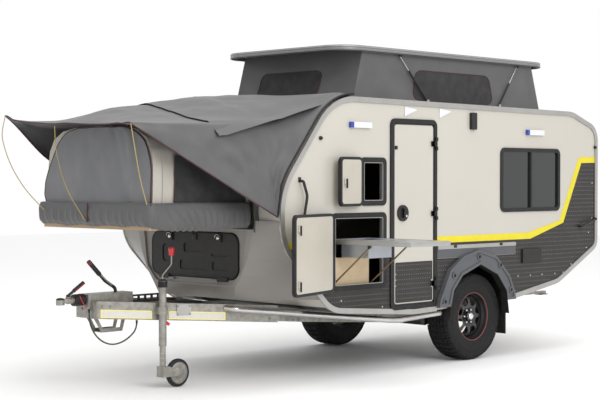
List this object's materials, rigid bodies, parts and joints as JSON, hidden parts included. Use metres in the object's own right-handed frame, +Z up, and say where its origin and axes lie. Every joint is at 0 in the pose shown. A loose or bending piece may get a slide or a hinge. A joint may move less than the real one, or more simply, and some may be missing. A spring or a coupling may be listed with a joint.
{
  "type": "off-road caravan",
  "caption": "Small off-road caravan with a raised pop-top roof, a fold-out front bed under a tent, a slide-out kitchen board and a jockey wheel.",
  "frame": {"origin": "on the ground under the middle of the caravan's box", "axes": "+X rearward, +Y to the caravan's right side, +Z up"},
  "size_m": [5.7794, 2.795, 2.769],
  "materials": {
    "body_white": "gloss gelcoat, cream white",
    "roof_grey": "grey coated aluminium",
    "body_grey": "moulded grey-beige plastic",
    "moulding": "satin anodised edge moulding",
    "checker": "dark brown-grey checker plate",
    "stripe": "yellow stripe",
    "flare_grey": "grey moulded flare",
    "rubber_black": "black rubber profile",
    "plastic_black": "black moulded plastic",
    "plastic_white": "white plastic",
    "lamp_red": "red lamp lens",
    "knob_red": "red knob",
    "glass_dark": "dark tinted window",
    "tyre": "black tyre rubber",
    "rim_black": "satin black steel rim",
    "galvanised": "galvanised steel",
    "tube_steel": "bright steel tube",
    "board_metal": "satin aluminium board",
    "bronze": "bronze coated brace",
    "bamboo": "bamboo ply",
    "inner_beige": "beige panel",
    "canvas_grey": "grey coated canvas",
    "canvas_cream": "cream canvas",
    "foam": "foam mattress with a cover",
    "rod_tan": "tan glass-fibre rod",
    "tan_board": "tan plywood",
    "cable_black": "black cable jacket"
  },
  "bodies": {
    "caravan": {"front_panel": "body_white", "floor": "plastic_black", "rear_wall": "body_white", "roof_panel": "body_white", "side_wall_left": "body_white", "side_wall_right": "body_white", "edge_rails": "moulding", "checker_plates": "checker", "side_stripes": "stripe", "stowed_table": "moulding", "arch_flares": "flare_grey", "mudflaps": "rubber_black", "opening_frames": "rubber_black", "window_frames": "rubber_black", "window_panes": "glass_dark", "nose": "body_grey", "kitchen_cabinet": "bamboo", "pop_fabric": "canvas_grey", "fly_rear": "canvas_grey", "axle": "rim_black", "chassis": "galvanised", "drawbar_rails": "galvanised", "coupling": "galvanised", "coupling_levers": "plastic_black", "drawbar_fittings": "plastic_black", "breakaway_cable": "cable_black", "jockey_tube": "galvanised", "jockey_knobs": "knob_red", "light_bars": "plastic_white", "side_trim": "plastic_black", "rear_lamps": "lamp_red", "side_tubes": "tube_steel", "strut_feet": "moulding"},
    "wheel_left": {"tyre_left": "tyre", "rim_left": "rim_black"},
    "wheel_right": {"tyre_right": "tyre", "rim_right": "rim_black"},
    "jockey_fork": {"jockey_fork": "galvanised"},
    "jockey_wheel": {"jockey_wheel": "rubber_black"},
    "entry_door": {"entry_door": "body_white", "door_plate": "checker", "door_handle": "plastic_black"},
    "kitchen_hatch_door": {"kitchen_hatch_door": "inner_beige"},
    "small_hatch_door": {"small_hatch_door": "inner_beige"},
    "nose_lid": {"nose_lid": "plastic_black"},
    "kitchen_board": {"kitchen_board": "board_metal", "kitchen_sink": "board_metal"},
    "kitchen_braces": {"kitchen_braces": "bronze"},
    "pop_roof": {"pop_roof": "roof_grey"},
    "strut_tubes_front": {"strut_tubes_front": "plastic_black"},
    "strut_rods_front": {"strut_rods_front": "tube_steel"},
    "strut_tubes_rear": {"strut_tubes_rear": "plastic_black"},
    "strut_rods_rear": {"strut_rods_rear": "tube_steel"},
    "bed": {"bed_platform": "tan_board", "mattress": "foam", "bed_cover": "canvas_grey", "inner_tent": "canvas_cream", "fly_front": "canvas_grey", "spring_rods": "rod_tan"}
  },
  "joints": [
    {"name": "wheel_left_spin", "type": "hinge", "parent": "caravan", "child": "wheel_left", "pos_m": [0.9957, -0.4255, 0.388], "axis": [0, 1, 0], "continuous": true},
    {"name": "wheel_right_spin", "type": "hinge", "parent": "caravan", "child": "wheel_right", "pos_m": [0.9957, 1.1805, 0.388], "axis": [0, 1, 0], "continuous": true},
    {"name": "jockey_swivel", "type": "hinge", "parent": "caravan", "child": "jockey_fork", "pos_m": [-2.1343, 0.0454, 0.4], "axis": [0, 0, 1], "continuous": true},
    {"name": "jockey_spin", "type": "hinge", "parent": "jockey_fork", "child": "jockey_wheel", "pos_m": [-1.9843, 0.0454, 0.11], "axis": [0, 1, 0], "continuous": true},
    {"name": "entry_door_hinge", "type": "hinge", "parent": "caravan", "child": "entry_door", "pos_m": [0.3737, -0.6205, 1.3], "axis": [0, 0, 1], "range_deg": [0, 95]},
    {"name": "kitchen_hatch_hinge", "type": "hinge", "parent": "caravan", "child": "kitchen_hatch_door", "pos_m": [-0.9293, -0.6265, 1.03], "axis": [0, 0, 1], "range_deg": [0, 70]},
    {"name": "small_hatch_hinge", "type": "hinge", "parent": "caravan", "child": "small_hatch_door", "pos_m": [-0.5863, -0.6265, 1.6], "axis": [0, 0, 1], "range_deg": [0, 171]},
    {"name": "nose_lid_hinge", "type": "hinge", "parent": "caravan", "child": "nose_lid", "pos_m": [-1.5383, 0.3775, 0.804], "axis": [0, -1, 0], "range_deg": [0, 90]},
    {"name": "kitchen_slide", "type": "slide", "parent": "caravan", "child": "kitchen_board", "axis": [0, 1, 0], "range_m": [0, 0.86]},
    {"name": "kitchen_brace_hinge", "type": "hinge", "parent": "kitchen_board", "child": "kitchen_braces", "pos_m": [-0.6363, -0.9675, 1.086], "axis": [1, 0, 0], "range_deg": [0, 38.21]},
    {"name": "pop_top_slide", "type": "slide", "parent": "caravan", "child": "pop_roof", "axis": [0, 0, -1], "range_m": [0, 0.39], "deforming": ["pop_fabric"]},
    {"name": "strut_front_tilt", "type": "hinge", "parent": "caravan", "child": "strut_tubes_front", "pos_m": [0.5587, 0.3775, 2.31], "axis": [0, -1, 0], "range_deg": [0, 47.07]},
    {"name": "strut_front_stroke", "type": "slide", "parent": "strut_tubes_front", "child": "strut_rods_front", "axis": [0.7005, 0, -0.7137], "range_m": [0, 0.1593]},
    {"name": "strut_rear_tilt", "type": "hinge", "parent": "caravan", "child": "strut_tubes_rear", "pos_m": [1.6037, 0.3775, 2.306], "axis": [0, 1, 0], "range_deg": [0, 55.03]},
    {"name": "strut_rear_stroke", "type": "slide", "parent": "strut_tubes_rear", "child": "strut_rods_rear", "axis": [-0.5905, 0, -0.807], "range_m": [0, 0.1948]},
    {"name": "bed_fold", "type": "hinge", "parent": "caravan", "child": "bed", "pos_m": [-1.5163, 0.3775, 1.262], "axis": [0, 1, 0], "range_deg": [0, 118], "deforming": ["inner_tent", "fly_front", "fly_rear", "spring_rods"]}
  ],
  "couplings": [
    {"joint": "kitchen_brace_hinge", "follows": "kitchen_slide", "rad_per_m": 0.77555},
    {"joint": "strut_front_tilt", "follows": "pop_top_slide", "rad_per_m": 2.1064},
    {"joint": "strut_front_stroke", "follows": "pop_top_slide", "ratio": 0.40857},
    {"joint": "strut_rear_tilt", "follows": "pop_top_slide", "rad_per_m": 2.4626},
    {"joint": "strut_rear_stroke", "follows": "pop_top_slide", "ratio": 0.49941}
  ]
}
